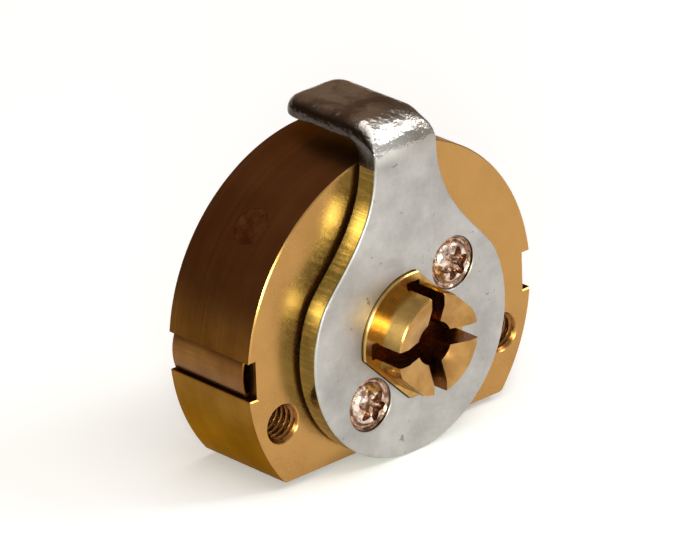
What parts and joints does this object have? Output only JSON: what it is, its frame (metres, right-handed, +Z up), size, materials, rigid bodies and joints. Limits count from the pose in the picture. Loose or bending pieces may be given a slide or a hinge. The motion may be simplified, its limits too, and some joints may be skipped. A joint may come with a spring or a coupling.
{
  "type": "cam lock",
  "caption": "Short round brass cam lock on a base flat, with a bent steel cam screwed to its slotted drive boss, threaded fixing holes, side cover strips and spring-loaded pins inside.",
  "frame": {"origin": "centre of the housing's flat base face, under the lock's axis and at half the housing's length", "axes": "+Z up, away from the base flat; +Y along the lock's axis towards the key side, so the cam faces -Y; +X to the right as seen from the cam side"},
  "size_m": [0.0368, 0.018, 0.0347],
  "materials": {
    "body_brass": "machined brass: satin face, fine turning lines round the rim, browned in places",
    "strip_brass": "rolled brass strip, dull and slightly browned",
    "pressed_pin_brass": "brass pin machined flush with the rim",
    "rotor_brass": "bright machined brass with saw and turning marks",
    "zinc_plated_steel": "clear zinc plate over stamped steel, matt on the face and brighter on the bend",
    "nickel_plated_steel": "nickel-plated screw heads",
    "pin_brass": "turned brass, bright",
    "pin_steel": "plain bright steel"
  },
  "bodies": {
    "case": {"housing": "body_brass", "cover_strip_left": "strip_brass", "cover_strip_right": "strip_brass", "stop_pin": "pressed_pin_brass", "spring_left_1": "pin_steel", "spring_left_2": "pin_steel", "spring_left_3": "pin_steel", "spring_left_4": "pin_steel", "spring_right_1": "pin_steel", "spring_right_2": "pin_steel", "spring_right_3": "pin_steel", "spring_right_4": "pin_steel"},
    "plug": {"rotor": "rotor_brass", "cam": "zinc_plated_steel", "cam_screw_1": "nickel_plated_steel", "cam_screw_2": "nickel_plated_steel"},
    "key_pin_left_1": {"key_pin_left_1": "pin_brass"},
    "driver_pin_left_1": {"driver_pin_left_1": "pin_steel"},
    "key_pin_left_2": {"key_pin_left_2": "pin_brass"},
    "driver_pin_left_2": {"driver_pin_left_2": "pin_steel"},
    "key_pin_left_3": {"key_pin_left_3": "pin_brass"},
    "driver_pin_left_3": {"driver_pin_left_3": "pin_steel"},
    "key_pin_left_4": {"key_pin_left_4": "pin_brass"},
    "driver_pin_left_4": {"driver_pin_left_4": "pin_steel"},
    "key_pin_right_1": {"key_pin_right_1": "pin_brass"},
    "driver_pin_right_1": {"driver_pin_right_1": "pin_steel"},
    "key_pin_right_2": {"key_pin_right_2": "pin_brass"},
    "driver_pin_right_2": {"driver_pin_right_2": "pin_steel"},
    "key_pin_right_3": {"key_pin_right_3": "pin_brass"},
    "driver_pin_right_3": {"driver_pin_right_3": "pin_steel"},
    "key_pin_right_4": {"key_pin_right_4": "pin_brass"},
    "driver_pin_right_4": {"driver_pin_right_4": "pin_steel"}
  },
  "joints": [
    {"name": "plug_turn", "type": "hinge", "parent": "case", "child": "plug", "pos_m": [0, 0, 0.0118], "axis": [0, -1, 0], "range_deg": [0, 90]},
    {"name": "key_pin_left_1_slide", "type": "slide", "parent": "plug", "child": "key_pin_left_1", "axis": [1, 0, 0], "range_m": [0, 0.0004]},
    {"name": "driver_pin_left_1_slide", "type": "slide", "parent": "case", "child": "driver_pin_left_1", "axis": [-1, 0, 0], "range_m": [0, 0.001], "stiffness_N_per_m": 20, "springref_m": -0.008, "deforming": ["spring_left_1"]},
    {"name": "key_pin_left_2_slide", "type": "slide", "parent": "plug", "child": "key_pin_left_2", "axis": [1, 0, 0], "range_m": [0, 0.0004]},
    {"name": "driver_pin_left_2_slide", "type": "slide", "parent": "case", "child": "driver_pin_left_2", "axis": [-1, 0, 0], "range_m": [0, 0.001], "stiffness_N_per_m": 20, "springref_m": -0.008, "deforming": ["spring_left_2"]},
    {"name": "key_pin_left_3_slide", "type": "slide", "parent": "plug", "child": "key_pin_left_3", "axis": [1, 0, 0], "range_m": [0, 0.0004]},
    {"name": "driver_pin_left_3_slide", "type": "slide", "parent": "case", "child": "driver_pin_left_3", "axis": [-1, 0, 0], "range_m": [0, 0.001], "stiffness_N_per_m": 20, "springref_m": -0.008, "deforming": ["spring_left_3"]},
    {"name": "key_pin_left_4_slide", "type": "slide", "parent": "plug", "child": "key_pin_left_4", "axis": [1, 0, 0], "range_m": [0, 0.0004]},
    {"name": "driver_pin_left_4_slide", "type": "slide", "parent": "case", "child": "driver_pin_left_4", "axis": [-1, 0, 0], "range_m": [0, 0.001], "stiffness_N_per_m": 20, "springref_m": -0.008, "deforming": ["spring_left_4"]},
    {"name": "key_pin_right_1_slide", "type": "slide", "parent": "plug", "child": "key_pin_right_1", "axis": [-1, 0, 0], "range_m": [0, 0.0004]},
    {"name": "driver_pin_right_1_slide", "type": "slide", "parent": "case", "child": "driver_pin_right_1", "axis": [1, 0, 0], "range_m": [0, 0.001], "stiffness_N_per_m": 20, "springref_m": -0.008, "deforming": ["spring_right_1"]},
    {"name": "key_pin_right_2_slide", "type": "slide", "parent": "plug", "child": "key_pin_right_2", "axis": [-1, 0, 0], "range_m": [0, 0.0004]},
    {"name": "driver_pin_right_2_slide", "type": "slide", "parent": "case", "child": "driver_pin_right_2", "axis": [1, 0, 0], "range_m": [0, 0.001], "stiffness_N_per_m": 20, "springref_m": -0.008, "deforming": ["spring_right_2"]},
    {"name": "key_pin_right_3_slide", "type": "slide", "parent": "plug", "child": "key_pin_right_3", "axis": [-1, 0, 0], "range_m": [0, 0.0004]},
    {"name": "driver_pin_right_3_slide", "type": "slide", "parent": "case", "child": "driver_pin_right_3", "axis": [1, 0, 0], "range_m": [0, 0.001], "stiffness_N_per_m": 20, "springref_m": -0.008, "deforming": ["spring_right_3"]},
    {"name": "key_pin_right_4_slide", "type": "slide", "parent": "plug", "child": "key_pin_right_4", "axis": [-1, 0, 0], "range_m": [0, 0.0004]},
    {"name": "driver_pin_right_4_slide", "type": "slide", "parent": "case", "child": "driver_pin_right_4", "axis": [1, 0, 0], "range_m": [0, 0.001], "stiffness_N_per_m": 20, "springref_m": -0.008, "deforming": ["spring_right_4"]}
  ]
}
